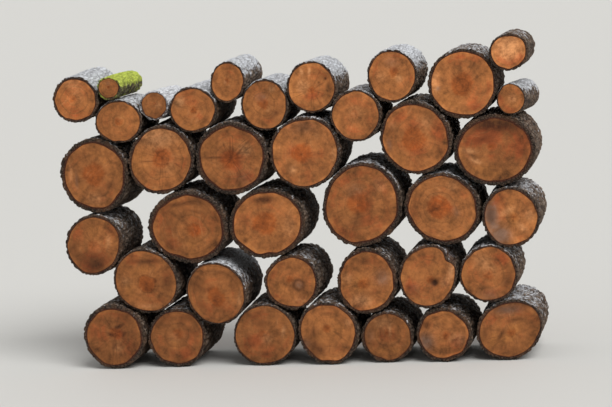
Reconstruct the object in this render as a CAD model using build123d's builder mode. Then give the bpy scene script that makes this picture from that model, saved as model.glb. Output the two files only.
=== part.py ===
from build123d import *
import os
import numpy as np

# A stack of sawn round logs, one rank deep. X runs along the stack, Y along the logs, away
# from the side that is looked at, and Z up. Sizes are millimetres over the bark.
log_size = 200          # how thick a middling log is; the logs' outlines and places are hundredths of it
stock_length = 330      # the length the wood is sawn to
length_spread = 7       # how much longer or shorter single logs came out
face_spread = 11        # how far single sawn faces stand before or behind the rest
cut_slant = 2.0         # degrees that a saw cut leans from square, at most
askew = 7               # how far to one side a bottom log's far end lies, at most
lobe_height = 0.012     # how far an outline swells three times round, as a share of its radius
seat_gap = 0.3          # clearance wherever a log lies on another one
side_lean = 1.8         # degrees that both of the stack's sides lean to the left
grip = 0.4              # how far bark holds a log that is off its balance, as a share of its weight
arcs = 8                # tangent arcs in a log's outline
stations = 5            # places along a log where its gaps to the logs near it are tried
slack = 0.1             # how much of the clearance may be missing, as a share of it

# Directions round a log, one for each degree
bearings = np.radians(np.arange(360))
normals = np.column_stack([np.cos(bearings), np.sin(bearings)])


def vary(index, salt):
    """A fixed number from -1 to 1 for one log, so that no two logs or cuts are alike."""
    return 2 * ((0.618034 * index + 0.414214 * salt) % 1) - 1


def toward(angle):
    """The direction that faces an angle."""
    return np.array([np.cos(angle), np.sin(angle)])


class Line:
    """An edge of the stack, the ground or one of its sides, and the way from it into the stack."""

    def __init__(self, point, inward):
        self.point = np.array(point, float)
        self.inward = inward
        self.outward_degree = np.argmin(normals @ inward)
        self.clearance = 0

    def gap(self, log, place, share):
        """The gap that a log at a place leaves to this edge, and the way in which it opens."""
        return self.inward @ (place - self.point) - log.reach()[self.outward_degree], self.inward


class Log:
    """A log's outline over the bark, and where its middle shows in the stack's front.

    Places and widths are in hundredths of log_size. turn is in degrees, anticlockwise from the
    front. skew is how far the log's far end lies to the right of and above its front end, for
    the few logs that don't lie square.
    """

    def __init__(self, name, across, up, wide, high, turn=0, skew=(0, 0)):
        index = len(logs)
        hundredth = log_size / 100
        wide, high = wide * hundredth, high * hundredth
        self.name = name
        self.target = np.array([across, up]) * hundredth
        self.skew = np.array(skew) * hundredth
        if name.startswith("bottom"):
            self.skew[0] = askew * vary(index, 2)
        self.radius = (wide + high) / 4
        self.slant = 1
        self.clearance = seat_gap
        self.front = face_spread * vary(index, 3)
        self.rear = self.front + stock_length + length_spread * vary(index, 4)
        self.cuts = [cut_slant * vary(index, salt) for salt in (5, 6, 7, 8)]

        # The arcs' radii make an oval with three low lobes, and close the outline by themselves: where a
        # radius swells n times round, its curve is n * n - 1 times as much flatter
        self.arc_turn = 2 * np.pi / arcs
        middles = self.arc_turn * (np.arange(arcs) + 0.5)
        oval = (wide - high) / 4 * np.cos(2 * (middles - np.radians(turn)))
        lobes = lobe_height * self.radius * np.cos(3 * middles + np.pi * vary(index, 1))
        self.arc_radii = self.radius - (2 ** 2 - 1) * oval - (3 ** 2 - 1) * lobes
        centres = [np.zeros(2)]
        for number in range(1, arcs):
            inward = self.arc_radii[number - 1] - self.arc_radii[number]
            centres.append(centres[-1] + inward * toward(number * self.arc_turn))
        self.arc_centres = np.array(centres) - np.mean(centres, axis=0)
        owner = (bearings // self.arc_turn).astype(int)
        self.square_reach = np.sum(normals * self.arc_centres[owner], axis=1) + self.arc_radii[owner]
        logs.append(self)

    def reach(self):
        """How far the log reaches each way from its middle, in a plane square to the stack's logs."""
        return self.square_reach * self.slant

    def middle(self, share):
        """The middle of the log there."""
        return self.ends[0] + (self.ends[1] - self.ends[0]) * share

    def place_ends(self, front, rear):
        self.ends = (front, rear)
        self.slant = np.hypot(stock_length, np.linalg.norm(rear - front)) / stock_length

    def gap(self, log, place, share):
        """The gap that a log at a place leaves to this one, and the way in which it opens."""
        gaps = normals @ (place - self.middle(share)) - np.roll(log.reach(), 180) - self.reach()
        widest = np.argmax(gaps)
        return gaps[widest], normals[widest]


def hollow(log, start, share, seats, clearances):
    """The place near start where the log lies on both seats, or None if it can't stay there."""
    place = start.copy()
    for step in range(10):
        found = [seat.gap(log, place, share) for seat in seats]
        ways = np.array([way for gap, way in found])
        if abs(np.linalg.det(ways)) < 0.1:
            return None
        wanted = [clearance - gap for clearance, (gap, way) in zip(clearances, found)]
        move = np.clip(np.linalg.solve(ways, wanted), -log.radius, log.radius)
        place = place + move
    # The log's weight goes down between its two seats, or so near to one that the bark holds it
    loads = np.linalg.solve(ways.T, [0, 1])
    if np.abs(move).max() > 0.01 or loads.min() < -grip:
        return None
    return place


def resting_place(log, target, share, laid, spare):
    """The hollow nearest to the target that is clear of everything laid so far."""
    near = [other for other in laid
            if np.linalg.norm(other.middle(share) - target) < 1.6 * (log.radius + other.radius)] + edges
    clearances = [other.clearance + spare.get(other, 0) for other in near]
    places = []
    if log.name.startswith("bottom"):
        places.append(target + [0, -ground.gap(log, target, share)[0]])
    for first in range(len(near)):
        for second in range(first):
            places.append(hollow(log, target, share, (near[first], near[second]),
                                 (clearances[first], clearances[second])))
    free = [place for place in places if place is not None
            and all(other.gap(log, place, share)[0] > clearance - slack * seat_gap
                    for other, clearance in zip(near, clearances))]
    return min(free, key=lambda place: np.linalg.norm(place - target))


def lay(log, laid):
    """Lays a log on those below it, and lifts it where its middle would cut into one of them."""
    settled = [other.ends[0] - other.target for other in laid
               if np.linalg.norm(other.target - log.target) < 1.3 * (log.radius + other.radius)]
    target = log.target + (np.mean(settled, axis=0) if settled else 0)
    spare = {}
    for attempt in range(8):
        front = resting_place(log, target, 0, laid, spare)
        log.place_ends(front, resting_place(log, front + log.skew, 1, laid, spare))
        cut = {}
        for other in laid:
            gap = min(other.gap(log, log.middle(share), share)[0] for share in np.linspace(0, 1, stations))
            if gap < seat_gap - slack * seat_gap:
                cut[other] = seat_gap - gap
        if not cut:
            return
        for other, depth in cut.items():
            spare[other] = spare.get(other, 0) + depth
    print(log.name, "still cuts into a neighbour")


def log_outline(log, y):
    """A sketch of the log's outline, square to the log, where its middle passes y."""
    share = y / stock_length
    across, up = log.middle(share)
    along = Vector(*log.ends[1], 0) - Vector(*log.ends[0], 0)
    axis = Vector(along.X, stock_length, along.Y)
    with BuildSketch(Plane(origin=(across, y, up), x_dir=(1, 0, 0), z_dir=-axis)) as outline:
        with BuildLine():
            for number in range(arcs):
                start = np.degrees(number * log.arc_turn)
                CenterArc(tuple(log.arc_centres[number]), log.arc_radii[number], start, np.degrees(log.arc_turn))
        make_face()
    return outline.sketch


def saw_cut(log, y, turned, tipped):
    """The plane of a saw cut at y, turned and tipped by a degree or two from square."""
    across, up = log.middle(y / stock_length)
    way = Vector(0, 1, 0).rotate(Axis.Z, turned).rotate(Axis.X, tipped)
    return Plane(origin=(across, y, up), z_dir=way)


def side(inward, *names):
    """The stack's side on which these logs lean, drawn through the mean of where they reach out to."""
    reaches = [log.radius - inward @ log.target for log in logs if log.name in names]
    return Line(-inward * np.mean(reaches), inward)


# The logs in the order in which they are laid, each numbered from the left in its row
logs = []
Log("bottom_log_1", -345, 60, 115, 117.5)
Log("bottom_log_2", -234, 52.5, 107.5, 107.5)
Log("bottom_log_3", -75, 47.5, 115, 110, turn=12)
Log("bottom_log_4", 38, 47.5, 107.5, 115, turn=27)
Log("bottom_log_5", 141, 47.5, 95, 92.5)
Log("bottom_log_6", 240, 50, 100, 97.5)
Log("bottom_log_7", 353, 52.5, 122.5, 102.5, turn=27)
Log("lower_log_1", -275, 152.5, 122.5, 112.5, turn=-38)
Log("lower_log_2", -155, 130, 107.5, 115, turn=27)
Log("lower_log_3", -10, 145, 100, 100)
Log("lower_log_4", 110, 142.5, 107.5, 120, turn=-13)
Log("lower_log_5", 215, 147.5, 102.5, 115, turn=-23)
Log("lower_log_6", 320, 155, 105, 102.5, turn=42)
Log("middle_log_6", 367.5, 260, 102.5, 107.5)
Log("middle_log_5", 247.5, 265, 137.5, 125, turn=-28)
Log("middle_log_4", 102.5, 280, 140, 152.5, turn=-23)
Log("middle_log_1", -370, 215, 102.5, 112.5, turn=-23)
Log("middle_log_2", -192.5, 250, 147.5, 130, turn=-8)
Log("middle_log_3", -50, 247.5, 140, 125, turn=12)
Log("upper_log_1", -367.5, 340, 125, 135, turn=11)
Log("upper_log_2", -247.5, 372.5, 117.5, 127.5, turn=-33)
Log("upper_log_3", -122.5, 370, 132.5, 130)
Log("upper_log_6", 340, 365, 145, 125)
Log("upper_log_5", 202.5, 387.5, 125, 132.5, turn=32)
Log("upper_log_4", 5, 365, 125, 130, turn=-33)
Log("top_log_3", -317.5, 435, 87.5, 77.5)
Log("top_log_5", -182.5, 457.5, 87.5, 82.5)
Log("top_log_4", -252.5, 460, 55, 55, skew=(0, 22.5))
Log("top_log_1", -390, 480, 85, 85)
Log("top_log_2", -327.5, 497.5, 45, 42.5)
Log("top_log_7", -50, 452.5, 85, 92.5)
Log("top_log_6", -110, 495, 62.5, 75, turn=-13)
Log("top_log_9", 102.5, 425, 90, 92.5)
Log("top_log_8", 35, 487.5, 90, 92.5)
Log("top_log_10", 165, 495, 90, 95)
Log("top_log_11", 280, 485, 122.5, 122.5)
Log("top_log_13", 357.5, 455, 50, 55, skew=(35, -30))
Log("top_log_12", 362.5, 542.5, 70, 65, turn=17, skew=(15, -10))

across_stack = toward(np.radians(side_lean))
ground = Line((0, 0), toward(np.pi / 2))
left_side = side(across_stack, "middle_log_1", "top_log_1")
right_side = side(-across_stack, "middle_log_6", "upper_log_6")
edges = [ground, left_side, right_side]

laid = []
for log in logs:
    lay(log, laid)
    laid.append(log)
    front, rear = log.ends
    print(f"{log.name} {log.target[0]:.0f} {log.target[1]:.0f} lies at {front[0]:.1f} {front[1]:.1f} "
          f"and at the rear at {rear[0]:.1f} {rear[1]:.1f}")

os.makedirs("parts", exist_ok=True)
spare = stock_length / 5    # how much further than its cuts a log reaches before it is sawn
bodies = []
for log in logs:
    with BuildPart() as body:
        add(log_outline(log, log.front - spare))
        add(log_outline(log, log.rear + spare))
        loft(ruled=True)
        split(bisect_by=saw_cut(log, log.front, *log.cuts[:2]), keep=Keep.TOP)
        split(bisect_by=saw_cut(log, log.rear, *log.cuts[2:]), keep=Keep.BOTTOM)
    bodies.append(body)

# The origin is on the ground under the middle of the stack
boxes = [body.part.bounding_box() for body in bodies]
lowest = np.min([tuple(box.min) for box in boxes], axis=0)
highest = np.max([tuple(box.max) for box in boxes], axis=0)
middle = (lowest + highest) / 2
to_origin = Location((-middle[0], -middle[1], 0))
for log, body in zip(logs, bodies):
    piece = body.part.moved(to_origin)
    piece.label = log.name
    export_step(piece, f"parts/{log.name}.step")
print("stack", (highest - lowest).round(1), "lowest", lowest.round(2), "highest", highest.round(2))
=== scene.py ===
from types import SimpleNamespace

import bpy
import numpy as np
from mathutils import Matrix, Vector


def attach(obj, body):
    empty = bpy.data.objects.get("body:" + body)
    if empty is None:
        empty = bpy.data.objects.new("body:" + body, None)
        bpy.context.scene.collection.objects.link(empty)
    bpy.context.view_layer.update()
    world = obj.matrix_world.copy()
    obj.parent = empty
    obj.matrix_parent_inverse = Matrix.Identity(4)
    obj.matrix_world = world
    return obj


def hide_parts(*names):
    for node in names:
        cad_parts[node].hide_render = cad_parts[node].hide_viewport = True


# A stack of sawn round logs. Each packed log is dressed with furrowed bark and two sawn faces.
# X runs along the stack, Y along the logs and away from the camera, Z up, all in metres.
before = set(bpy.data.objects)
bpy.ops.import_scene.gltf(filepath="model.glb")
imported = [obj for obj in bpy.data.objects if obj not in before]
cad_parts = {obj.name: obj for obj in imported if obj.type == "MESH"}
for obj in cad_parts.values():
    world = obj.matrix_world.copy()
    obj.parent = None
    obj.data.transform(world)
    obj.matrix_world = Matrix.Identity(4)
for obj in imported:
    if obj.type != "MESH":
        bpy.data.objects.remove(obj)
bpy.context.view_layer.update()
print("frame loaded with", len(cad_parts), "logs")


# Camera, light and floor

cameraSet = {
    "place": (1.4405, -8.295, 1.533),    # a few steps to the right of the stack, at eye height
    "left": 9.434,                       # degrees that it looks to the left
    "down": 7.17,                        # degrees that it looks down
    "tilt": 3.0,                         # degrees that the stack leans to its left in the picture
    "lens": 141.0,
    "farthest": 200.0,                   # how far it sees
}
lightSet = {
    "sunStrength": 2.7,
    "sunAngle": 40.0,                    # a wide soft lamp
    "sunFrom": (0.75, -1.0, 1.25),
    "skyStrength": 0.5,
    "backdrop": (232, 231, 228),
}
floorSet = {
    "reach": 60.0,                       # from the stack to the middle of each side
    "colour": (205, 204, 200),
    "roughness": 0.8,
}
glossLevel = 0.2                         # of the bark, the wood and the floor: all are dull


def paint(red, green, blue):
    # A colour typed as it looks on a screen, 0 to 255, as the amounts of light that Blender mixes
    screen = np.array([red, green, blue]) / 255
    light = np.where(screen > 0.04045, ((screen + 0.055) / 1.055) ** 2.4, screen / 12.92)
    return (*light.tolist(), 1.0)


class Wire:
    # One output of a node. Arithmetic on wires adds Math nodes, and add() adds any other node.
    def __init__(self, tree, socket=None):
        self.tree, self.socket = tree, socket

    def add(self, kind, settings=None, sockets=None, pick=0):
        node = self.tree.nodes.new(kind)
        for key, value in (settings or {}).items():
            if key == "stops":
                ramp = node.color_ramp
                while len(ramp.elements) < len(value):
                    ramp.elements.new(0.5)
                for element, (place, colour) in zip(ramp.elements, value):
                    element.position, element.color = place, colour
            else:
                setattr(node, key, value)
        for key, value in (sockets or {}).items():
            if isinstance(value, Wire):
                self.tree.links.new(value.socket, node.inputs[key])
            else:
                node.inputs[key].default_value = value
        return Wire(self.tree, node.outputs[pick] if node.outputs else None)

    def math(self, operation, *values):
        return self.add("ShaderNodeMath", {"operation": operation}, dict(enumerate(values)))

    def __add__(self, other):
        return self.math("ADD", self, other)

    def __sub__(self, other):
        return self.math("SUBTRACT", self, other)

    def __rsub__(self, other):
        return self.math("SUBTRACT", other, self)

    def __mul__(self, other):
        return self.math("MULTIPLY", self, other)

    def __truediv__(self, other):
        return self.math("DIVIDE", self, other)

    def __rtruediv__(self, other):
        return self.math("DIVIDE", other, self)

    def __pow__(self, other):
        return self.math("POWER", self, other)

    def __rpow__(self, other):
        return self.math("POWER", other, self)

    __radd__, __rmul__ = __add__, __mul__

    def sine(self):
        return self.math("SINE", self)

    def step(self, low, high):
        # 0 below low, 1 above high and a smooth climb between
        return self.add("ShaderNodeMapRange", {"interpolation_type": "SMOOTHSTEP"},
                        {0: self, 1: low, 2: high})

    def parts(self):
        node = self.add("ShaderNodeSeparateXYZ", None, {0: self}).socket.node
        return [Wire(self.tree, output) for output in node.outputs]

    def vector(self, x, y, z=0.0):
        return self.add("ShaderNodeCombineXYZ", None, {0: x, 1: y, 2: z})

    def colour(self, value, under, factor):
        # A plain colour laid over a wire's colour
        return self.add("ShaderNodeMix", {"data_type": "RGBA"},
                        {0: factor, 6: under, 7: value}, pick=2)

    def attribute(self, name):
        return self.add("ShaderNodeAttribute", {"attribute_name": name}, pick="Vector")

    def noise(self, where, scale, detail=3.0, rough=0.55, pick=0):
        sockets = {"Vector": where, "Scale": scale, "Detail": detail, "Roughness": rough}
        return self.add("ShaderNodeTexNoise", None, sockets, pick)

    def cells(self, where, scale, width):
        # 0 on the lines between uneven cells, climbing to 1 over a width given in cells
        lines = self.add("ShaderNodeTexVoronoi", {"feature": "DISTANCE_TO_EDGE"},
                         {"Vector": where, "Scale": scale})
        return lines.step(0.0, width)


def newMaterial(name):
    material = bpy.data.materials.new(name)
    material.use_nodes = True
    material.node_tree.nodes.clear()
    return material, Wire(material.node_tree)


def finishMaterial(start, colour, roughness, bump=None, depth=0.001, strength=0.5):
    sockets = {"Base Color": colour, "Roughness": roughness, "Specular IOR Level": glossLevel}
    if bump is not None:
        sockets["Normal"] = start.add("ShaderNodeBump", None,
                                      {"Strength": strength, "Distance": depth, "Height": bump})
    shader = start.add("ShaderNodeBsdfPrincipled", None, sockets)
    start.add("ShaderNodeOutputMaterial", None, {"Surface": shader})


def makeCamera():
    data = bpy.data.cameras.new("photographCamera")
    data.lens = cameraSet["lens"]
    data.clip_end = cameraSet["farthest"]
    camera = bpy.data.objects.new("photographCamera", data)
    bpy.context.scene.collection.objects.link(camera)
    left, down, tilt = (np.radians(cameraSet[key]) for key in ("left", "down", "tilt"))
    aim = Matrix.Rotation(left, 4, "Z") @ Matrix.Rotation(np.pi / 2 - down, 4, "X")
    camera.matrix_world = (Matrix.Translation(cameraSet["place"])
                           @ Matrix.Rotation(tilt, 4, "Y") @ aim)
    bpy.context.scene.camera = camera


def makeLights():
    lamp = bpy.data.lights.new("softSun", "SUN")
    lamp.energy = lightSet["sunStrength"]
    lamp.angle = np.radians(lightSet["sunAngle"])
    sun = bpy.data.objects.new("softSun", lamp)
    bpy.context.scene.collection.objects.link(sun)
    sun.rotation_mode = "QUATERNION"
    sun.rotation_quaternion = Vector(lightSet["sunFrom"]).to_track_quat("Z", "Y")

    # The camera sees the backdrop's colour, and the object is lit by a plain grey sky
    world = bpy.data.worlds.new("studio")
    bpy.context.scene.world = world
    world.use_nodes = True
    world.node_tree.nodes.clear()
    start = Wire(world.node_tree)
    rays = start.add("ShaderNodeLightPath").socket.node
    seen = Wire(start.tree, rays.outputs["Is Camera Ray"])
    for name in ("Is Glossy Ray", "Is Transmission Ray"):
        seen = seen.math("MAXIMUM", seen, Wire(start.tree, rays.outputs[name]))
    sky = lightSet["skyStrength"]
    colour = start.colour(paint(*lightSet["backdrop"]), (sky, sky, sky, 1), seen)
    light = start.add("ShaderNodeBackground", None, {"Color": colour, "Strength": 1.0})
    start.add("ShaderNodeOutputWorld", None, {"Surface": light})


def makeFloor():
    # One flat square at height 0, where the lowest logs rest
    reach = floorSet["reach"]
    corners = [(-reach, -reach, 0), (reach, -reach, 0), (reach, reach, 0), (-reach, reach, 0)]
    mesh = bpy.data.meshes.new("studioFloor")
    mesh.from_pydata(corners, [], [(0, 1, 2, 3)])
    floor = bpy.data.objects.new("studioFloor", mesh)
    bpy.context.scene.collection.objects.link(floor)
    material, start = newMaterial("studioFloor")
    finishMaterial(start, paint(*floorSet["colour"]), floorSet["roughness"])
    mesh.materials.append(material)


makeCamera()
makeLights()
makeFloor()
bpy.context.scene.view_settings.view_transform = "Standard"
print("camera, light and floor made")


# What each log looks like, set after the photograph

def look(bark, heart=(0, 0), heartSize=0.25, tone=0.0, red=0.1, crust=0.3, split=0.15,
         bite=(0, 1, 0), marks=()):
    # bark: thickness in millimetres.
    # heart: where the pith is, right and up, in shares of the radius.
    # heartSize: how far the darker heart reaches, in shares of the way to the bark.
    # tone: -1 dark to 1 pale. red: 0 tan to 1 reddish.
    # crust: pale growth on the bark's upper side, with painted sunlight there too. split: how
    # clearly the drying cracks show.
    # bite: a piece broken from the front edge, as its angle and half its width in degrees and its
    # depth in metres.
    # marks: (kind, right, up, size, strength) with place and size in shares of the radius, and for
    # a drawn out one also (turn in degrees, how many times longer than wide).
    return {"bark": bark, "heart": heart, "heartSize": heartSize, "tone": tone, "red": red,
            "crust": crust, "split": split, "bite": bite, "marks": marks}


logLooks = {
    "top_log_1": look(13, (-0.1, 0.05), 0.15, tone=0.2, red=0.1, crust=0.8, marks=(
        ("red", -0.5, -0.2, 0.4, 0.5), ("pale", 0.15, 0.1, 0.25, 0.3, 80, 1.6),
        ("dark", 0.5, 0.2, 0.13, 0.5, 100, 1.6), ("pale", -0.1, 0.7, 0.3, 0.5, 0, 1.5),
        ("red", 0, -0.75, 0.3, 0.4))),
    "top_log_2": look(10, (0, 0.1), 0.12, tone=-0.3, red=0.2, crust=1.0, marks=(
        ("red", 0.05, 0.1, 0.3, 0.3), ("grey", 0, 0.4, 0.2, 0.4), ("gold", -0.6, 0.1, 0.35, 0.9),
        ("dark", 0.3, -0.65, 0.25, 0.5))),
    "top_log_3": look(10, (0, 0), 0.14, tone=0.12, red=0.05, crust=0.6, marks=(
        ("gold", 0.15, 0.05, 0.12, 0.6, 90, 2.5), ("red", -0.12, 0, 0.1, 0.2, 90, 2.5),
        ("dark", -0.4, -0.6, 0.2, 0.25, -40, 2), ("pale", 0.1, 0.1, 0.2, 0.3))),
    "top_log_4": look(12, (0.1, 0.1), 0.12, tone=-0.42, red=0.15, crust=0.9, marks=(
        ("dark", 0, 0.8, 0.4, 0.5), ("pale", 0.25, 0, 0.25, 0.6), ("dark", -0.2, -0.7, 0.25, 0.4),
        ("gold", -0.4, -0.3, 0.3, 0.5))),
    "top_log_5": look(11, (0, 0), 0.22, tone=0.15, red=0.15, crust=0.8, marks=(
        ("red", 0, 0.3, 0.3, 0.3), ("pale", -0.55, 0.35, 0.25, 0.9),
        ("gold", 0, -0.75, 0.25, 0.6, 0, 2.5), ("red", 0.3, -0.3, 0.2, 0.7),
        ("dark", 0.5, -0.45, 0.15, 0.5, 45, 2), ("gold", -0.8, 0.2, 0.2, 0.5))),
    "top_log_6": look(9, (0, 0.05), 0.12, tone=0.1, red=0.15, crust=0.8, marks=(
        ("pale", -0.1, 0, 0.1, 0.7), ("pale", 0.1, -0.2, 0.08, 0.5), ("dark", 0.1, 0.45, 0.12, 0.5),
        ("dark", -0.25, -0.5, 0.12, 0.3), ("gold", -0.25, 0.5, 0.25, 0.5))),
    "top_log_7": look(10, (0, 0.1), 0.2, red=0.0, crust=0.8, marks=(
        ("grey", -0.1, 0.3, 0.2, 0.45, 0, 1.5), ("dark", 0, -0.05, 0.13, 0.4, 20, 1.8),
        ("pale", 0.3, 0.6, 0.15, 0.7), ("dark", 0.4, -0.35, 0.2, 0.6, 40, 1.6),
        ("pale", 0.15, -0.2, 0.06, 0.5, 40, 2.2), ("red", 0, -0.65, 0.2, 0.6, 0, 2),
        ("gold", -0.8, -0.1, 0.25, 0.7, 90, 2))),
    "top_log_8": look(11, (0, -0.15), 0.12, tone=0.3, red=0.1, crust=0.9, split=0.3, marks=(
        ("pale", -0.35, 0.6, 0.07, 0.8, 100, 2.5), ("pale", -0.05, 0.6, 0.06, 0.8, 80, 3),
        ("dark", 0.35, 0.5, 0.07, 0.5), ("dark", 0.55, 0.3, 0.08, 0.9),
        ("dark", 0.3, 0.15, 0.06, 0.7), ("dark", 0.65, 0.0, 0.07, 0.6),
        ("pale", -0.35, 0.05, 0.3, 0.6), ("red", 0, -0.35, 0.15, 0.9, 0, 2),
        ("gold", -0.6, -0.35, 0.3, 0.6), ("dark", 0.4, -0.35, 0.07, 0.6))),
    "top_log_9": look(11, (0, 0.05), 0.15, tone=0.22, crust=0.5, marks=(
        ("gold", -0.8, -0.1, 0.2, 0.7, 90, 2), ("pale", 0, 0.1, 0.35, 0.4),
        ("dark", -0.5, -0.1, 0.08, 0.4, 90, 3), ("dark", 0.45, 0.05, 0.07, 0.4, 90, 4),
        ("dark", 0.1, 0.75, 0.1, 0.4, 0, 3))),
    "top_log_10": look(13, (0.1, 0.2), 0.2, tone=0.42, red=0.1, crust=0.9, marks=(
        ("grey", 0, 0.5, 0.3, 0.35, 0, 1.4), ("dark", 0.1, 0.25, 0.15, 0.4),
        ("gold", 0.15, 0, 0.2, 0.8), ("red", 0.75, -0.1, 0.2, 0.4), ("pale", -0.4, 0, 0.25, 0.4),
        ("pale", 0.25, -0.1, 0.15, 0.8))),
    "top_log_11": look(16, (0, -0.05), 0.34, tone=0.35, red=0.0, crust=0.4, marks=(
        ("pale", -0.8, 0.05, 0.2, 0.5, 90, 2), ("grey", -0.7, -0.1, 0.07, 0.8),
        ("red", 0.8, -0.05, 0.15, 0.7), ("gold", -0.5, -0.55, 0.3, 0.3),
        ("red", 0.35, -0.65, 0.25, 0.7, -20, 1.6), ("dark", 0.35, -0.7, 0.15, 0.45, 20, 2),
        ("red", 0.2, 0.85, 0.3, 0.5, 0, 2), ("gold", 0.5, 0.4, 0.2, 0.3))),
    # This face's high tone and its big pale mark are painted sunlight on the face
    "top_log_12": look(11, (0, 0), 0.1, tone=0.5, red=0.0, crust=0.3, split=0.05, marks=(
        ("pale", 0, 0.2, 0.7, 0.9), ("red", -0.3, -0.5, 0.35, 0.5, 0, 2),
        ("red", 0.65, -0.35, 0.2, 0.8))),
    "top_log_13": look(6, (0.1, 0), 0.1, tone=0.15, red=0.0, crust=0.7, marks=(
        ("gold", 0, 0, 0.4, 0.3), ("pale", 0.1, 0.05, 0.3, 0.7),
        ("red", -0.8, 0.1, 0.2, 0.8, 90, 2), ("red", 0, -0.8, 0.25, 0.6, 0, 2))),
    "upper_log_1": look(22, (-0.05, -0.05), 0.34, tone=-0.22, red=0.0, crust=0.35, marks=(
        ("dark", 0.4, -0.3, 0.15, 0.6), ("pale", -0.65, 0.1, 0.07, 0.5, 92, 5),
        ("grey", -0.5, -0.1, 0.06, 0.5, 92, 5), ("red", -0.4, 0.8, 0.2, 0.3),
        ("gold", 0.75, 0.1, 0.2, 0.5, 90, 2), ("gold", 0, 0.7, 0.3, 0.3),
        ("pale", 0, -0.65, 0.2, 0.5, 0, 1.5))),
    "upper_log_2": look(16, (0.05, 0.05), 0.26, tone=0.1, crust=0.35, split=0.3, marks=(
        ("pale", -0.05, 0.65, 0.3, 0.8, 0, 2), ("dark", -0.4, -0.03, 0.04, 0.5, 0, 9),
        ("gold", -0.7, 0.1, 0.25, 0.6, 90, 2), ("red", -0.45, -0.8, 0.15, 0.8),
        ("pale", 0.2, -0.2, 0.3, 0.3), ("red", 0.05, 0.05, 0.2, 0.5))),
    "upper_log_3": look(22, (0.0, 0), 0.26, tone=-0.17, red=0.25, crust=0.35, split=0.4, marks=(
        ("red", 0.0, 0, 0.2, 0.7), ("dark", -0.45, 0.03, 0.04, 0.6, 0, 9),
        ("pale", 0.38, 0.2, 0.2, 0.7), ("dark", 0.35, 0.35, 0.04, 0.4, 30, 7),
        ("gold", -0.6, 0.3, 0.25, 0.5), ("red", 0.5, -0.6, 0.3, 0.4),
        ("grey", 0.3, -0.55, 0.3, 0.3))),
    "upper_log_4": look(15, (-0.1, -0.05), 0.3, tone=0.12, red=0.15, crust=0.4, marks=(
        ("pale", 0.35, 0.45, 0.12, 0.4), ("pale", -0.35, -0.45, 0.12, 0.7),
        ("pale", 0.8, -0.1, 0.12, 0.5, 90, 2), ("gold", -0.75, 0, 0.25, 0.5),
        ("grey", 0, 0.7, 0.25, 0.3, 0, 2), ("red", -0.15, -0.05, 0.25, 0.6))),
    "upper_log_5": look(17, (-0.1, 0), 0.36, tone=0.12, red=0.25, crust=0.3, marks=(
        ("grey", -0.7, -0.15, 0.08, 0.5, 100, 2.5), ("gold", -0.5, -0.55, 0.25, 0.5, -45, 2),
        ("red", 0.6, 0.1, 0.3, 0.4), ("red", 0, -0.3, 0.2, 0.4), ("pale", 0.3, 0.4, 0.25, 0.4),
        ("pale", -0.6, 0.35, 0.15, 0.4))),
    "upper_log_6": look(21, (-0.1, 0.1), 0.05, tone=-0.2, red=0.15, crust=0.2, split=0.05, marks=(
        ("dark", 0, 0.65, 0.25, 0.9, 0, 3), ("dark", -0.35, 0.27, 0.1, 0.45, 12, 3.5),
        ("red", -0.25, 0.3, 0.2, 0.8, 12, 3), ("pale", -0.65, 0, 0.08, 0.8, -10, 2.5),
        ("pale", -0.5, -0.25, 0.07, 0.8, -25, 3), ("dark", -0.55, -0.12, 0.05, 0.6, -20, 4),
        ("gold", -0.3, -0.5, 0.2, 0.8, -15, 2), ("red", 0.55, 0.05, 0.3, 0.9),
        ("gold", 0.2, -0.6, 0.2, 0.4, 0, 2))),
    "middle_log_1": look(13, (0, 0), 0.15, tone=-0.2, red=0.1, crust=0.4, marks=(
        ("dark", 0.05, -0.6, 0.36, 0.7, 0, 1.5), ("red", 0, -0.5, 0.4, 0.4),
        ("gold", 0, 0.3, 0.3, 0.5, 90, 1.5), ("pale", 0.5, 0.1, 0.09, 0.6, 85, 3),
        # The dark mark down the left edge is painted shadow
        ("dark", -0.65, -0.05, 0.2, 0.5, 90, 1.6), ("red", -0.5, 0.4, 0.25, 0.4),
        ("pale", 0.05, 0, 0.2, 0.3))),
    "middle_log_2": look(23, (0.2, -0.1), 0.2, tone=-0.25, red=0.2, marks=(
        ("red", 0.2, -0.1, 0.14, 0.9), ("dark", -0.2, 0.6, 0.07, 0.7, 5, 6),
        ("dark", 0.2, 0.4, 0.05, 0.5, -15, 7), ("dark", 0.35, 0.65, 0.18, 0.4, -30, 1.6),
        ("dark", -0.5, 0.1, 0.2, 0.4), ("dark", -0.45, -0.5, 0.25, 0.6, -45, 1.6),
        ("gold", 0.1, -0.5, 0.25, 0.4))),
    "middle_log_3": look(21, (-0.1, 0), 0.36, tone=0.08, red=0.1, marks=(
        ("dark", -0.05, 0.62, 0.1, 0.9, 0, 3.5), ("dark", -0.6, -0.45, 0.08, 0.8),
        ("dark", -0.55, 0.1, 0.08, 0.4, 90, 2), ("gold", -0.5, -0.7, 0.2, 0.7, -40, 2.5),
        ("pale", 0.6, -0.1, 0.25, 0.4, 90, 1.6))),
    "middle_log_4": look(20, (-0.1, 0), 0.25, tone=-0.07, red=0.2, crust=0.45, marks=(
        ("grey", -0.15, 0.35, 0.25, 0.35), ("dark", -0.15, -0.45, 0.25, 0.55),
        ("red", 0.1, 0, 0.2, 0.6, 90, 2), ("gold", 0.5, -0.1, 0.25, 0.4, 90, 1.5),
        ("dark", 0, 0.1, 0.05, 0.4, 88, 6), ("pale", 0.45, 0.45, 0.2, 0.5))),
    "middle_log_5": look(19, (-0.15, 0), 0.38, tone=0.1, red=0.1, crust=0.5, marks=(
        ("red", -0.15, 0, 0.25, 0.5), ("grey", 0.35, -0.1, 0.13, 0.4, 90, 1.5),
        ("dark", -0.75, -0.1, 0.09, 0.4), ("red", -0.3, -0.65, 0.2, 0.5),
        ("pale", 0.3, 0.6, 0.2, 0.4), ("red", 0.6, 0.4, 0.2, 0.4))),
    "middle_log_6": look(14, (0.1, 0), 0.08, tone=0.3, red=0.05, crust=0.4, marks=(
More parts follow.
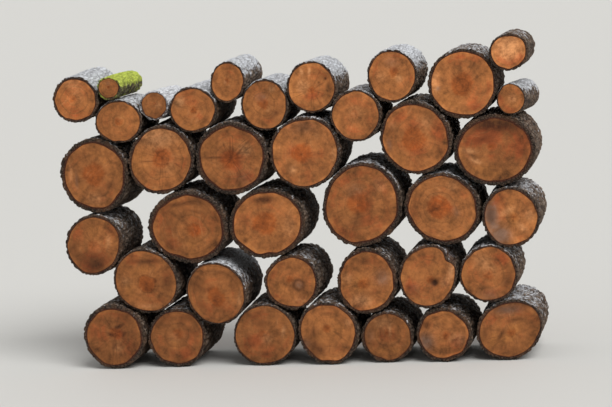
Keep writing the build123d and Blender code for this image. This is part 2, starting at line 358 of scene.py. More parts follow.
        ("grey", -0.35, -0.6, 0.36, 0.9), ("grey", -0.65, 0.1, 0.25, 1.0, 90, 1.8),
        ("dark", -0.66, 0.1, 0.18, 0.6, 90, 2), ("red", -0.4, 0.65, 0.25, 0.3),
        ("gold", 0.05, 0.05, 0.13, 1.0, 95, 3), ("pale", 0.6, 0.05, 0.25, 0.5),
        ("pale", 0.35, -0.35, 0.12, 0.6, -40, 2), ("pale", -0.1, 0.2, 0.15, 0.6, 30, 2))),
    "lower_log_1": look(10, (0, -0.1), 0.28, tone=-0.2, marks=(
        ("dark", 0, 0.6, 0.09, 0.7, 0, 6), ("pale", -0.6, 0, 0.2, 0.5),
        ("gold", -0.5, -0.3, 0.25, 0.6, -60, 2), ("dark", 0.3, 0, 0.08, 0.6),
        ("dark", 0.65, -0.05, 0.2, 0.6, 90, 1.5), ("gold", 0, 0.35, 0.15, 0.5, 0, 3),
        ("pale", 0, -0.75, 0.1, 0.5, 0, 4))),
    "lower_log_2": look(10, (0.05, -0.2), 0.28, tone=-0.22, red=0.05, crust=0.65, marks=(
        ("dark", -0.7, 0.3, 0.3, 0.5), ("dark", -0.5, -0.35, 0.2, 0.4, -45, 1.5),
        ("pale", 0.75, -0.2, 0.08, 0.7, 80, 4), ("dark", 0.2, 0.65, 0.15, 0.35, 0, 2),
        ("red", 0.05, -0.25, 0.2, 0.5))),
    "lower_log_3": look(15, (-0.1, 0.1), 0.1, tone=0, red=0.1, marks=(
        ("knot", 0.24, -0.1, 0.18, 0.6), ("red", -0.3, 0.7, 0.2, 0.4),
        ("gold", -0.4, -0.2, 0.3, 0.5), ("red", -0.6, -0.5, 0.15, 0.6),
        ("pale", 0.3, -0.65, 0.15, 0.4, 0, 2))),
    "lower_log_4": look(16, (-0.15, -0.05), 0.18, marks=(
        ("dark", -0.05, 0.62, 0.14, 0.6, 0, 2), ("grey", 0.5, 0.1, 0.28, 0.6),
        ("gold", -0.25, -0.1, 0.25, 0.9), ("pale", -0.2, -0.6, 0.2, 0.9, 0, 1.6),
        ("pale", -0.6, 0.1, 0.2, 0.5), ("dark", 0.3, -0.35, 0.06, 0.6))),
    "lower_log_5": look(12, (0.1, -0.1), 0.12, tone=0.07, red=0.15, bite=(40, 13, 0.016), marks=(
        ("hole", 0.2, -0.2, 0.12, 1.0), ("pale", 0.75, 0.2, 0.12, 0.9, 80, 2.5),
        ("pale", 0.55, -0.2, 0.2, 0.5), ("grey", -0.45, -0.35, 0.2, 0.3),
        ("red", -0.6, -0.3, 0.2, 0.6), ("dark", -0.6, -0.35, 0.15, 0.5),
        ("gold", 0.3, 0.2, 0.2, 0.5), ("dark", -0.6, 0, 0.06, 0.6),
        ("dark", 0.1, 0.35, 0.06, 0.4))),
    "lower_log_6": look(13, (0, 0), 0.16, tone=0.08, red=0.15, crust=0.5, marks=(
        # The dark mark at the lower right edge is painted shadow
        ("pale", -0.2, 0.45, 0.35, 0.5), ("dark", 0.62, -0.25, 0.22, 0.7, 70, 1.6),
        ("red", 0.5, 0.4, 0.3, 0.4), ("grey", 0, -0.75, 0.3, 0.4, 0, 1.5),
        ("pale", 0.1, 0.1, 0.3, 0.3))),
    "bottom_log_1": look(19, (0.05, 0.1), 0.2, tone=-0.5, crust=0.2, split=0.35, marks=(
        ("dark", 0.15, 0.3, 0.07, 0.9, 20, 3), ("dark", -0.1, 0.05, 0.06, 0.9, -30, 2.5),
        ("red", 0.15, 0.08, 0.15, 0.9), ("dark", 0.3, 0.05, 0.05, 0.7, 60, 2.5),
        ("gold", -0.4, -0.4, 0.3, 0.4), ("pale", 0.1, -0.35, 0.2, 0.5),
        ("dark", 0.5, 0.5, 0.2, 0.35, -45, 1.5))),
    "bottom_log_2": look(15, (0, 0.1), 0.15, tone=-0.4, red=0.1, marks=(
        ("gold", -0.05, 0.1, 0.15, 0.5, 90, 3), ("dark", 0.65, 0.4, 0.1, 0.5, 120, 3),
        ("dark", -0.5, 0.55, 0.12, 0.5, 50, 3), ("dark", 0.3, 0.65, 0.18, 0.5, 0, 1.5),
        ("pale", -0.1, 0, 0.2, 0.4), ("red", 0, -0.6, 0.3, 0.6, 0, 1.6))),
    "bottom_log_3": look(10, (0, 0), 0.15, tone=-0.38, marks=(
        ("dark", -0.15, 0.35, 0.15, 0.4), ("red", -0.3, -0.1, 0.25, 0.4),
        ("pale", 0.6, 0.1, 0.07, 0.8, 75, 3), ("pale", 0.05, -0.1, 0.2, 0.6),
        ("dark", 0, -0.6, 0.1, 0.6, 0, 2), ("dark", -0.55, -0.1, 0.16, 0.5, 90, 1.6),
        ("gold", 0.3, 0.5, 0.2, 0.4))),
    "bottom_log_4": look(16, (0, 0.15), 0.08, red=0.05, marks=(
        ("gold", 0, 0.15, 0.35, 0.9), ("dark", 0, 0.62, 0.06, 0.5, 0, 5),
        ("dark", 0.4, 0.1, 0.06, 0.4, 85, 5), ("dark", -0.45, 0.1, 0.06, 0.5, 95, 5),
        ("grey", -0.75, -0.35, 0.2, 0.6), ("dark", -0.35, -0.5, 0.28, 0.65, -30, 1.4),
        ("pale", 0.65, 0.3, 0.15, 0.5), ("red", 0.4, -0.5, 0.25, 0.4))),
    "bottom_log_5": look(14, (0, 0.2), 0.12, tone=-0.46, marks=(
        ("grey", -0.65, 0.1, 0.2, 0.4, 90, 1.6), ("pale", -0.15, 0.55, 0.28, 0.6, 0, 1.4),
        ("dark", -0.25, 0.1, 0.05, 0.5, 92, 6), ("dark", 0.4, 0.2, 0.05, 0.5, 88, 6),
        ("gold", -0.25, -0.5, 0.12, 0.9, 0, 1.5), ("gold", 0.3, -0.5, 0.12, 0.9, 0, 1.5),
        ("pale", 0.1, 0.2, 0.07, 0.5, 90, 4))),
    "bottom_log_6": look(17, (0.1, 0), 0.15, tone=0, red=0.1, marks=(
        ("grey", -0.65, -0.25, 0.35, 0.8), ("grey", 0.6, -0.2, 0.3, 0.3),
        ("pale", -0.25, 0.3, 0.2, 0.3), ("dark", -0.6, 0.35, 0.17, 0.7),
        ("dark", 0.3, 0.7, 0.15, 0.4, 0, 2), ("pale", 0.4, -0.15, 0.3, 0.5))),
    "bottom_log_7": look(14, (0.05, -0.1), 0.1, tone=-0.25, crust=0.45, marks=(
        ("gold", -0.5, -0.3, 0.1, 0.8, 70, 3), ("gold", 0.05, -0.1, 0.15, 1.0, 45, 2.5),
        ("grey", 0, 0.62, 0.16, 0.7, 5, 3), ("dark", -0.25, -0.15, 0.07, 0.7, 55, 4),
        ("dark", 0.2, 0.3, 0.07, 0.6, 10, 5), ("dark", -0.3, 0.65, 0.12, 0.4, 20, 2),
        ("gold", 0.5, -0.4, 0.2, 0.7, -10, 2), ("red", 0.3, -0.2, 0.2, 0.5),
        ("dark", -0.75, -0.1, 0.12, 0.5, 90, 2), ("pale", -0.1, 0.45, 0.1, 0.3, 0, 4))),
}
# The slots of the two logs with other bark
barkOf = {"top_log_2": "lichened_log", "top_log_4": "pale_barked_log"}


# Bark

barkSet = {
    "plateWidth": 0.019,        # how wide and how long the plates between the furrows are
    "plateLength": 0.068,
    "furrowShare": 0.55,        # the deepest furrow in shares of the bark's thickness, and a limit
    "furrowDepth": 0.0065,
    "furrowWidth": 0.28,        # a furrow's width and how far its plates are bent, in plates
    "plateBend": 1.1,
    "plateRise": 0.5,           # how high every plate rises, and how much higher some rise
    "plateLevels": 0.3,
    "longWaves": 0.35,          # how much long waves and a fine grain add to the plates
    "fineGrain": 0.24,
    "furrow": (26, 20, 17),
    "brown": (98, 70, 50),
    "inner": (72, 38, 24),      # the cut edge next to the wood
    "fissures": 85.0,           # how many fissures, flakes, grains and patches there are in a metre
    "flakes": 210.0,
    "grains": 320.0,
    "patches": 22.0,
    "fissureLength": 4.0,       # how many times longer than wide
    "flakeLength": 2.0,
    "bends": 45.0,              # how often in a metre the fissures wind, and how far
    "bendSize": (0.016, 0.03, 0.016),
    "paleSpecks": 55.0,            # specks of the pale crust, growth and painted sunlight, in a metre
    "roughness": 0.92,
    "bumpDepth": 0.003,
}
barkKinds = {
    # by slot: the material's name, its crest, flank and crust, the crust being pale growth with
    # painted sunlight, and how far the crust has spread
    "log": ("furrowedBark", (140, 124, 109), (82, 68, 57), (214, 217, 222), 0.0),
    "lichened_log": ("lichenedBark", (146, 142, 104), (88, 80, 60), (194, 208, 86), 0.12),
    # The pale bark is partly its own colour and partly painted sunlight over the whole log
    "pale_barked_log": ("paleSunlitBark", (218, 219, 222), (172, 171, 172), (232, 234, 238), 0.12),
}


def makeBark(name, crest, flank, crust, spread):
    material, start = newMaterial(name)
    where = start.add("ShaderNodeTexCoord", pick="Object")
    # Fissures and flakes are long along the log and wind a little
    wind = start.noise(where, barkSet["bends"], 2.0, 0.5, pick=1)
    bent = start.add("ShaderNodeVectorMath", {"operation": "MULTIPLY_ADD"},
                     {0: wind, 1: barkSet["bendSize"], 2: where})
    long, short = (
        start.add("ShaderNodeMapping", None, {"Vector": bent, "Scale": (1, 1 / times, 1)})
        for times in (barkSet["fissureLength"], barkSet["flakeLength"]))
    fissure = start.cells(long, barkSet["fissures"], 0.14)
    flake = start.cells(short, barkSet["flakes"], 0.3)
    grain = start.noise(short, barkSet["grains"], 5.0, 0.65)
    patch = start.noise(where, barkSet["patches"], 3.0, 0.5)

    # The mesh's height and the pattern's together make the colour, from furrow over flank to crest;
    # the near black of the furrows is partly the bark's own colour and partly painted shade
    height, inner, pale = start.attribute("bark").parts()
    ridge = height * 0.55 + fissure * 0.2 + flake * 0.1 + grain * 0.4 - 0.15
    stops = ((0.16, paint(*barkSet["furrow"])), (0.45, paint(*flank)), (0.85, paint(*crest)))
    colour = start.add("ShaderNodeValToRGB", {"stops": stops}, {0: ridge})
    colour = start.colour(paint(*barkSet["brown"]), colour, patch.step(0.42, 0.7) * 0.55)
    # The pale crust, growth with painted sunlight on the upper side, lies in specks, more on the
    # ridges, and the cut edge is brown next to the wood
    speck = start.noise(where, barkSet["paleSpecks"], 5.0, 0.65) * 0.75 + patch * 0.25
    growth = (speck + pale * 0.42 + spread).step(0.62, 0.76) * (ridge * 0.9 + 0.35)
    colour = start.colour(paint(*crust), colour, growth.math("MINIMUM", growth, 1.0))
    cutEdge = (inner + grain * 0.3 - 0.15).step(0.15, 0.75)
    colour = start.colour(paint(*barkSet["inner"]), colour, cutEdge)
    bump = fissure + flake * 0.3 + grain * 0.7
    finishMaterial(start, colour, barkSet["roughness"], bump, barkSet["bumpDepth"], 1.0)
    return material


# Sawn wood

woodSet = {
    "sap": (158, 98, 53),
    "heart": (150, 74, 26),
    "ruddy": (156, 80, 41),
    "gold": (174, 110, 58),
    "rim": (176, 112, 60),
    "dark": (50, 23, 9),
    "grey": (118, 91, 75),
    "pale": (200, 140, 92),
    "heartTint": 0.7,           # how much of its colour each of these adds, 0 to 1
    "pithTint": 0.25,
    "rayTint": 0.2,
    "yearTint": 0.16,
    "bandTint": 0.34,
    "sawTint": 0.2,
    "greyTint": 0.9,
    "paleTint": 0.7,
    "darkTint": 0.92,
    "crackTint": 0.8,
    "clouds": 13.0,             # how many clouds, patches, mottles and fibres there are in a metre
    "patches": 30.0,
    "mottles": 85.0,
    "fibres": 420.0,
    "ringWidth": 0.0052,
    "sawPitch": 0.006,          # from one mark of the saw to the next
    "crackWidth": 0.0011,
    "pithSize": 0.009,
    "rimShade": 0.12,           # how much darker the face is beside the bark
    "exposure": 0.88,           # lightness of a log with tone 0, and how much a tone of 1 adds
    "toneStep": 0.56,
    "roughness": 0.72,
    "bumpDepth": 0.0012,
}


def makeWood():
    material, start = newMaterial("sawnWood")
    across, up, share = start.attribute("growth").parts()
    saw = start.attribute("saw")
    sawAcross, sawUp, sawSeed = saw.parts()
    dark, grey, pale = start.attribute("marks").parts()
    tone, red, heartSize = start.attribute("tones").parts()
    cracked = start.attribute("cracked").parts()[0]
    distance = (across * across + up * up) ** 0.5
    slow, drift, tint = start.noise(saw, woodSet["clouds"], 3.0, 0.55, pick=1).parts()
    patch = start.noise(saw, woodSet["patches"], 4.0, 0.6)
    mottle = start.noise(saw, woodSet["mottles"], 4.0, 0.65)
    fibre = start.noise(saw, woodSet["fibres"], 3.0, 0.6)

    # Rays and cracks run out from the pith: both change fast round it and slowly away from it
    right, high = across / (distance + 0.002), up / (distance + 0.002)
    around = start.vector(right * 7.0, high * 7.0, distance * 14.0 + sawSeed)
    ray = start.noise(around, 1.6, 3.0, 0.6)
    away = start.vector(right, high, distance * 1.2 + sawSeed * 3.0)
    course, reach, width = start.noise(away, 1.9, 1.0, 0.5, pick=1).parts()
    gap = start.math("ABSOLUTE", course + (mottle - 0.5) * 0.02 - 0.5) * distance
    crack = 1.0 - (gap / (width * woodSet["crackWidth"] * 2.0)).step(0.4, 1.0)
    crack = crack * (reach * 1.7 - share).step(0.0, 0.15) * cracked

    # Wide years and narrow ones follow the log's outline
    years = start.vector(share * 8.0 + slow * 3.0 + patch * 0.6, sawSeed * 7.0)
    band = start.noise(years, 1.0, 2.0, 0.6)
    turns = distance * (2 * np.pi / woodSet["ringWidth"])
    ring = (turns + slow * 14.0 + patch * 5.0 + band * 4.0).sine() * 0.5 + 0.5
    # The saw leaves lines that are long one way and fine the other
    scored = start.vector(sawAcross / woodSet["sawPitch"] + slow * 5.0, sawUp * 14.0, sawSeed)
    marking = start.noise(scored, 1.0, 3.0, 0.6)

    heart = 1.0 - (share + (slow - 0.5) * 0.5 + (mottle - 0.5) * 0.2 - heartSize).step(-0.08, 0.1)
    pith = 1.0 - (distance + (mottle - 0.5) * 0.012).step(0.001, woodSet["pithSize"])
    rim = (share + (ray - 0.5) * 0.4).step(0.84, 0.97)
    hue = red + (tint - 0.5) * 2.0 + (band - 0.5) * 1.2 + (patch - 0.5) * 0.7
    uneven = (mottle - 0.5) * 1.8 + (patch - 0.5) * 1.0 + 1.0

    # Each layer is a colour and how much of it lies over the layers before it
    layers = (
        ("ruddy", hue.step(0.0, 0.9)),
        ("gold", (0.0 - hue).step(0.0, 0.8)),
        ("heart", heart * woodSet["heartTint"]),
        ("dark", pith * woodSet["pithTint"]),
        ("rim", rim * (drift * 1.4 - 0.3)),
        ("dark", (ray - 0.5).step(0.02, 0.2) * woodSet["rayTint"]),
        ("dark", ring ** 4.0 * woodSet["yearTint"]),
        ("dark", (0.52 - band).step(0.0, 0.28) * woodSet["bandTint"]),
        ("pale", (marking - 0.5).step(0.0, 0.25) * drift.step(0.4, 0.65) * woodSet["sawTint"]),
        ("grey", (grey * uneven).step(0.0, 1.0) * woodSet["greyTint"]),
        ("pale", (pale * uneven).step(0.0, 1.0) * woodSet["paleTint"]),
        ("dark", (dark * uneven).step(0.0, 1.1) * woodSet["darkTint"]),
        ("dark", crack * woodSet["crackTint"]),
    )
    colour = paint(*woodSet["sap"])
    for name, amount in layers:
        colour = start.colour(paint(*woodSet[name]), colour, amount)
    shade = share.step(0.5, 0.95) * woodSet["rimShade"]
    light = (mottle - 0.5) * 0.9 + (patch - 0.5) * 1.6 + (drift - 0.5) * 1.5 + (fibre - 0.5) * 0.4
    light = (light + 1.0 - shade) * (tone * woodSet["toneStep"] + woodSet["exposure"])
    colour = start.add("ShaderNodeVectorMath", {"operation": "SCALE"}, {0: colour, "Scale": light})
    bump = marking * 0.4 + ring * 0.15 + fibre * 0.3 - crack * 1.5
    roughness = mottle * 0.12 + woodSet["roughness"]
    finishMaterial(start, colour, roughness, bump, woodSet["bumpDepth"], 0.7)
    return material


materials = {"wood": makeWood()}
for slot, kind in barkKinds.items():
    materials[slot] = makeBark(*kind)
print("materials made")


# Log shapes

shapeSet = {
    "aroundStep": 0.0052,       # size of a facet round the bark and along it
    "alongStep": 0.0052,
    "faceRings": 16,            # rings of a sawn face
    "edgeRings": (0.0, 0.33, 0.66, 1.0),    # and of the bark's cut edge, from the wood outwards
    "thinnest": 0.8,            # the bark's least thickness as a share of its look's, and the range
    "thickRange": 0.4,
    "rearPith": 0.06,           # how far the pith has wandered at the rear, in shares of the radius
    "sawWave": 0.0007,          # how deep the saw went in and out
    "sawWaves": 190.0,          # its waves over a metre, in radians, and its patches in a metre
    "sawPatches": 30.0,
    "leastWave": 0.15,          # the share of the wave that all of the face lies behind the cut
    "chip": 0.004,              # how far the bark's cut edge has crumbled back
    "crumbs": 90.0,             # crumbs in a metre, and how their noise is spread over 0 to 1
    "crumbSpread": 1.6,
    "crumbStart": 0.45,
    "edgeRound": 0.0015,        # how far the bark's outer edges are rounded
    "insideSolid": 0.0001,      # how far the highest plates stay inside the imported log
    "biteLength": 0.09,         # how far a broken piece goes back along the log
    "biteBrown": 0.01,          # a break this deep would be all brown, and the most that it is
    "biteMost": 0.4,
    "holeDepth": 0.006,         # how deep a hole is, and how much darker than a dark mark
    "holeShade": 1.3,
    "knotCircle": 0.4,          # width of a knot's dark circle in knots, and its dent in holes
    "knotDent": 0.3,
    "shadedEdgeHeight": 0.14,         # how light the bark's cut edge is, as a height on the bark, kept low to paint shade on the edge, and how much pale crust with painted sunlight it has
    "edgeCrustAndSunlit": 0.2,
    "sharpAngle": 55.0,         # degrees from which an edge between faces shows
}
latticeSize = 32
# One table of random values for the smooth noise, three for where plates are, one for their levels
tables = np.random.default_rng(11).random((5, latticeSize, latticeSize, latticeSize))


def smoothNoise(points):
    # Random values on a cubic lattice, blended between the eight corners of each cell with the
    # weights 3 t^2 - 2 t^3, t being the share of the way across the cell
    cell = np.floor(points).astype(int)
    part = points - cell
    part = part * part * (3 - 2 * part)
    total = 0
    for corner in np.ndindex(2, 2, 2):
        weight = np.prod(np.where(corner, part, 1 - part), axis=-1)
        x, y, z = np.moveaxis((cell + corner) % latticeSize, -1, 0)
        total = total + weight * tables[0, x, y, z]
    return total


def noiseAt(x, y, z):
    return smoothNoise(np.stack(np.broadcast_arrays(x, y, z), axis=-1))


def plates(points):
    # One random spot in each cell of a lattice. A point belongs to its nearest spot's plate, and
    # the further away the second nearest is, the further the point is from that plate's edge.
    cell = np.floor(points).astype(int)
    nearest = np.full(points.shape[:-1], 9.0)    # further than any spot can be
    second, level = nearest.copy(), nearest * 0
    for offset in np.ndindex(3, 3, 3):
        corner = cell + offset - 1
        x, y, z = np.moveaxis(corner % latticeSize, -1, 0)
        spot = corner + np.moveaxis(tables[1:4, x, y, z], 0, -1)
        gap = np.linalg.norm(points - spot, axis=-1)
        closer = gap < nearest
        second = np.where(closer, nearest, np.minimum(second, gap))
        level = np.where(closer, tables[4, x, y, z], level)
        nearest = np.minimum(nearest, gap)
    return second - nearest, level


def centreOf(corners):
    # The centre of a polygon's area
    nextCorners = np.roll(corners, -1, axis=0)
    cross = corners[:, 0] * nextCorners[:, 1] - nextCorners[:, 0] * corners[:, 1]
    return ((corners + nextCorners) * cross[:, None]).sum(axis=0) / (3 * cross.sum())


def readLog(name):
    # A packed log is a tube between two saw cuts: its corners all lie on the two cuts' rims. Each
    # rim gives a plane y = a + b x + c z and a centre. The centres give the log's axis, and the
    # rims, carried along it to y = 0, give the outline as a radius for each angle.
    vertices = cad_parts[name].data.vertices
    corners = np.empty(len(vertices) * 3)
    vertices.foreach_get("co", corners)
    corners = np.unique(corners.reshape(-1, 3).round(6), axis=0)
    isFront = corners[:, 1] < corners[:, 1].mean()
    planes, centres = [], []
    for rim in (corners[isFront], corners[~isFront]):
        table = np.column_stack([np.ones(len(rim)), rim[:, 0], rim[:, 2]])
        planes.append(np.linalg.lstsq(table, rim[:, 1], rcond=None)[0])
        flat = rim[:, [0, 2]]
        spread = flat - flat.mean(axis=0)
        flat = flat[np.argsort(np.arctan2(spread[:, 1], spread[:, 0]))]
        centre = centreOf(flat)
        centres.append(np.array([centre[0], planes[-1] @ [1, *centre], centre[1]]))
    slope = (centres[1] - centres[0])[[0, 2]] / (centres[1] - centres[0])[1]
    middle = centres[0][[0, 2]] - slope * centres[0][1]
    outline = corners[:, [0, 2]] - slope * corners[:, 1:2] - middle
    angles = np.arctan2(outline[:, 1], outline[:, 0])
    order = np.argsort(angles)
    return SimpleNamespace(planes=planes, slope=slope, middle=middle,
                           angles=angles[order], radii=np.hypot(*outline.T)[order])


def planLog(name, index):
    # What the ends and the bark share: for each angle round the log the outline's radius, the
    # bark's thickness, the pale crust of growth and painted sunlight, which lies on the upper side,
    # and how much is broken off, which falls as exp(-r^2) with r the angle from the break's middle
    # in shares of half its width
    log = readLog(name)
    log.style, log.seed = logLooks[name], index + 1.0
    log.radius = log.radii.mean()
    log.columns = int(round(2 * np.pi * log.radius / shapeSet["aroundStep"]))
    log.around = np.arange(log.columns) * 2 * np.pi / log.columns
    log.cosine, log.sine = np.cos(log.around), np.sin(log.around)
    log.outer = np.interp(log.around, log.angles, log.radii, period=2 * np.pi)
    uneven = noiseAt(3 * log.cosine, 3 * log.sine, log.seed)
    log.thick = log.style["bark"] / 1000 * (shapeSet["thinnest"] + shapeSet["thickRange"] * uneven)
    log.deepest = min(log.thick.min() * barkSet["furrowShare"], barkSet["furrowDepth"])
    log.crust = log.style["crust"] * np.clip(log.sine * 1.1 + 0.1, 0, 1)
    biteTurn, biteWidth, biteDepth = log.style["bite"]
    apart = (np.degrees(log.around) - biteTurn + 180) % 360 - 180
    log.bite = biteDepth * np.exp(-(apart / biteWidth) ** 2)
    return log


def cutDepth(log, end, across, up):
    # Where the line along the log through a point of its outline meets a saw cut:
    # y = (a + b x + c z) / (1 - b slopeX - c slopeZ), x and z being the point's place at y = 0
    a, b, c = log.planes[end]
    atStart = a + b * (log.middle[0] + across) + c * (log.middle[1] + up)
    return atStart / (1 - np.dot((b, c), log.slope))


def sawWays(log, across, up):
    # The same place measured across the saw's marks and along them
    turn = log.seed * 2.4
    return across * np.cos(turn) + up * np.sin(turn), up * np.cos(turn) - across * np.sin(turn)


def barkHeight(log, around, radius, depth):
    # 0 in the deepest furrow to 1 on the highest plate, at an angle, a radius and a place along the
    # log. Plates rise smoothly from their edges, each to its own level, in a pattern that three
    # noises bend, and a long noise and a fine one are added. The numbers from 11 to 71 only pick
    # parts of the noise that lie apart.
    ways = np.broadcast_arrays(radius * np.cos(around), radius * np.sin(around), depth)
    size = np.array([barkSet["plateWidth"], barkSet["plateWidth"], barkSet["plateLength"]])
    points = np.stack(ways, axis=-1) / size + log.seed * 5.3
    bend = np.stack([smoothNoise(points * 0.6 + part) for part in (11, 23, 37)], axis=-1)
    edge, level = plates(points + (bend - 0.5) * barkSet["plateBend"])
    plate = np.clip(edge / barkSet["furrowWidth"], 0, 1)
    plate = plate * plate * (3 - 2 * plate)
    long = smoothNoise(points * [0.55, 0.55, 0.2] + 51)
    fine = smoothNoise(points * 2.3 + 71)
    height = plate * (barkSet["plateRise"] + barkSet["plateLevels"] * level)
    height = height + barkSet["longWaves"] * (long - 0.35) + barkSet["fineGrain"] * (fine - 0.4)
    return np.clip(height, 0, 1)


def smudges(style, across, up):
    # How strong each kind of mark is at a point of the face, and how far the wood is dented there.
    # A mark fades as exp(-r^2), with r the distance from its middle in shares of its size, and a
    # knot has a dark dented circle at r = 1. Gold is the opposite of red.
    found = {kind: 0 * across for kind in ("dark", "grey", "pale", "red", "dent")}
    for kind, right, high, size, strength, *drawn in style["marks"]:
        turn, stretch = drawn or (0, 1)
        cosine, sine = np.cos(np.radians(turn)), np.sin(np.radians(turn))
        along = (across - right) * cosine + (up - high) * sine
        aside = (up - high) * cosine - (across - right) * sine
        away = np.hypot(along / stretch, aside) / size
        spot = strength * np.exp(-away ** 2)
        if kind == "knot":
            circle = strength * np.exp(-((away - 1) / shapeSet["knotCircle"]) ** 2)
            found["dark"] += circle
            found["grey"] += spot
            found["dent"] += shapeSet["knotDent"] * circle
        elif kind == "hole":
            found["dark"] += shapeSet["holeShade"] * spot
            found["dent"] += spot
        elif kind == "gold":
            found["red"] -= spot
        else:
            found[kind] += spot
    return found


def stackRings(log, face, edge):
    # The face's rings, then the cut edge's, with one value for each angle round the log
    parts = [np.broadcast_to(part, (len(part), log.columns)) for part in (face, edge)]
    return np.concatenate(parts)


def buildEnd(log, end):
    # The rings of the front end, 0, or the rear end, 1, from the pith outwards, and then the pith.
    # Face: pith + share (wood's edge - pith), with share from 0 to 1. It lies behind the saw cut by
    # the saw's waves and by dents.
    # Cut edge: wood's radius + ring (bark's radius - wood's radius), with ring from 0 to 1. It has
    # crumbled back by chip x ring x a noise.
    inwards = 1 - 2 * end
    missing = log.bite * (1 - end)
    wood = log.outer - log.thick - missing
    pith = np.array(log.style["heart"]) * log.radius
    if end == 1:
        wandered = np.array([np.sin(log.seed), np.cos(log.seed)])
        pith = pith + log.radius * shapeSet["rearPith"] * wandered
    share = np.linspace(0, 1, shapeSet["faceRings"] + 1)[1:, None]
    across = pith[0] + share * (wood * log.cosine - pith[0])
    up = pith[1] + share * (wood * log.sine - pith[1])
    wave = np.sin(sawWays(log, across, up)[0] * shapeSet["sawWaves"] + log.seed) * 0.5 + 0.5
    patches = shapeSet["sawPatches"]
    patch = noiseAt(across * patches, up * patches, log.seed + end)
    # The wood stays a little behind the bark's cut edge, so that no two rings meet
    wave = shapeSet["leastWave"] + (1 - shapeSet["leastWave"]) * wave * patch
    dent = smudges(log.style, across / log.radius, up / log.radius)["dent"] * (1 - end)
    depth = cutDepth(log, end, across, up)
    depth = depth + inwards * (shapeSet["sawWave"] * wave + dent * shapeSet["holeDepth"])

    corner = cutDepth(log, end, log.outer * log.cosine, log.outer * log.sine)
    height = barkHeight(log, log.around, log.outer, corner)
    bark = log.outer - log.deepest * (1 - height) - missing
    ring = np.array(shapeSet["edgeRings"])[:, None]
    ringRadius = wood + ring * (bark - shapeSet["edgeRound"] - wood)
    ringAcross, ringUp = ringRadius * log.cosine, ringRadius * log.sine
    crumbs = shapeSet["crumbs"]
    crumble = noiseAt(ringAcross * crumbs, ringUp * crumbs, log.seed * 3 + end)
    crumble = np.clip(crumble * shapeSet["crumbSpread"] - shapeSet["crumbStart"], 0, 1)
    ringDepth = cutDepth(log, end, ringAcross, ringUp) + inwards * shapeSet["chip"] * ring * crumble

    rings = {
        "across": stackRings(log, across, ringAcross),
        "up": stackRings(log, up, ringUp),
        "depth": stackRings(log, depth, ringDepth),
        "share": stackRings(log, share, 0 * ring + 1),
        "inner": stackRings(log, 0 * share + 1, (1 - ring) ** 2),
        # Low heights on the cut edge paint it dark, as painted shade
        "height": stackRings(log, 0 * share, shapeSet["shadedEdgeHeight"] * ring),
        "pale": stackRings(log, 0 * share, 0 * ring + shapeSet["edgeCrustAndSunlit"] * log.crust),
        "isRear": stackRings(log, 0 * share + end, 0 * ring + end),
    }
    centre = {"across": pith[0], "up": pith[1], "depth": cutDepth(log, end, *pith),
              "share": 0, "inner": 1, "height": 0, "pale": 0, "isRear": end}
    return rings, centre


def buildBark(log, front, rear):
    # The bark's rings, from just behind the front edge to just before the rear edge. Its radius is
    # the outline's - deepest (1 - height) - the broken piece, which fades out along the log.
    start = front["depth"][-1] + shapeSet["edgeRound"]
    stop = rear["depth"][-1] - shapeSet["edgeRound"]
    rows = int(round((stop - start).mean() / shapeSet["alongStep"]))
    along = np.linspace(0, 1, rows)[:, None]
    depth = start + along * (stop - start)
    height = barkHeight(log, log.around, log.outer, depth)
    missing = log.bite * np.clip(1 - (depth - start) / shapeSet["biteLength"], 0, 1)
    radius = log.outer - log.deepest * (1 - height) - missing - shapeSet["insideSolid"]
    brown = np.clip(missing / shapeSet["biteBrown"], 0, shapeSet["biteMost"])
    return {"across": radius * log.cosine, "up": radius * log.sine, "depth": depth,
            "share": 0 * depth + 1, "inner": brown, "height": height,
            "pale": 0 * depth + log.crust, "isRear": 0 * depth + along}


def makeMesh(name, places, columns):
    # Corner j of ring i has the number 1 + i columns + j. A cell joins two corners of a ring to the
    # two behind them on the next ring, and a fan of triangles closes the rings at each pith.
    ringCount = (len(places) - 2) // columns
    here, following = np.arange(columns), (np.arange(columns) + 1) % columns
    ringStart = 1 + np.arange(ringCount - 1)[:, None] * columns
    first, right = ringStart + here, ringStart + following
    cells = np.stack([first, first + columns, right + columns, right], axis=-1).reshape(-1, 4)
    rearStart = 1 + (ringCount - 1) * columns
    frontFan = np.column_stack([0 * here, 1 + here, 1 + following])
    rearFan = np.column_stack([0 * here + len(places) - 1, rearStart + following, rearStart + here])
    mesh = bpy.data.meshes.new("barked_" + name)
    mesh.from_pydata(places.tolist(), [], cells.tolist() + frontFan.tolist() + rearFan.tolist())

    # Material 0 is the wood, for the faces and fans, and 1 the bark
    faceRings = shapeSet["faceRings"]
    cellRing = np.repeat(np.arange(ringCount - 1), columns)
    isBark = (cellRing >= faceRings) & (cellRing < ringCount - 1 - faceRings)
    slots = np.concatenate([isBark.astype(np.int32), np.zeros(2 * columns, np.int32)])
    mesh.polygons.foreach_set("material_index", slots)
    mesh.polygons.foreach_set("use_smooth", np.ones(len(slots), bool))
    return mesh, 2 * len(cells) + 2 * columns


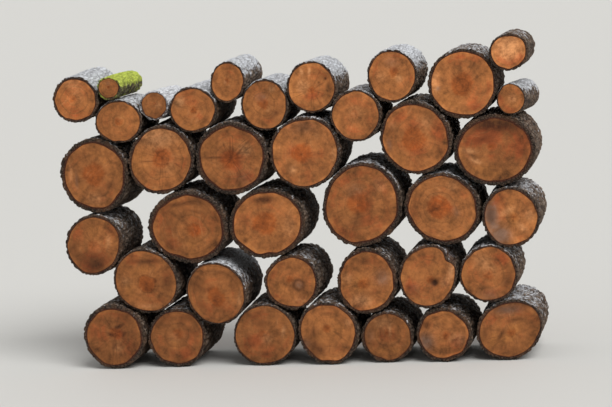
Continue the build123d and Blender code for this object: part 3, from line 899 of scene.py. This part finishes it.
def addPatterns(mesh, log, surface, piths):
    # What the materials read at each corner. Growth is the way from the pith on a round log, in
    # metres, as the direction from the pith x share x radius, and the share of the way to the bark.
    share, isRear = surface["share"], surface["isRear"]
    away = np.array([surface[key] - (piths[0][key] * (1 - isRear) + piths[1][key] * isRear)
                     for key in ("across", "up")])
    growth = away / np.maximum(np.hypot(*away), 1e-6) * (share * log.radius)
    sawAcross, sawUp = sawWays(log, surface["across"], surface["up"])
    marks = smudges(log.style, surface["across"] / log.radius, surface["up"] / log.radius)
    marks = {kind: value * (1 - isRear) for kind, value in marks.items()}
    values = {
        "growth": (growth[0], growth[1], share),
        "saw": (sawAcross, sawUp, log.seed * 3.7 + isRear * 1.9),
        "marks": (marks["dark"], marks["grey"], marks["pale"]),
        "tones": (log.style["tone"], log.style["red"] + marks["red"], log.style["heartSize"]),
        "cracked": (log.style["split"], 0, 0 * share),
        "bark": (surface["height"], surface["inner"], surface["pale"]),
    }
    for key, value in values.items():
        attribute = mesh.attributes.new(key, "FLOAT_VECTOR", "POINT")
        vectors = np.stack(np.broadcast_arrays(*value), axis=-1).astype(np.float32)
        attribute.data.foreach_set("vector", vectors.ravel())


def dressLog(name, index):
    # One closed surface: the front pith, the front's rings outwards, the bark's rings to the rear,
    # the rear's rings inwards and the rear pith
    log = planLog(name, index)
    (front, frontPith), (rear, rearPith) = buildEnd(log, 0), buildEnd(log, 1)
    bark = buildBark(log, front, rear)
    surface = {}
    for key in bark:
        surface[key] = np.concatenate([[frontPith[key]], front[key].ravel(), bark[key].ravel(),
                                       rear[key][::-1].ravel(), [rearPith[key]]])
    depth = surface["depth"]
    places = np.column_stack([log.middle[0] + surface["across"] + log.slope[0] * depth, depth,
                              log.middle[1] + surface["up"] + log.slope[1] * depth])
    mesh, triangleCount = makeMesh(name, places, log.columns)
    addPatterns(mesh, log, surface, (frontPith, rearPith))
    mesh.set_sharp_from_angle(angle=np.radians(shapeSet["sharpAngle"]))
    mesh.update()
    slot = barkOf.get(name, "log")
    mesh.materials.append(materials["wood"])
    mesh.materials.append(materials[slot])
    piece = bpy.data.objects.new("barked_" + name, mesh)
    bpy.context.scene.collection.objects.link(piece)
    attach(piece, "root")
    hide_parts(name)
    return triangleCount


triangles = [dressLog(name, index) for index, name in enumerate(logLooks)]
print("logs made:", len(triangles), "with", sum(triangles), "triangles, most in one",
      max(triangles))
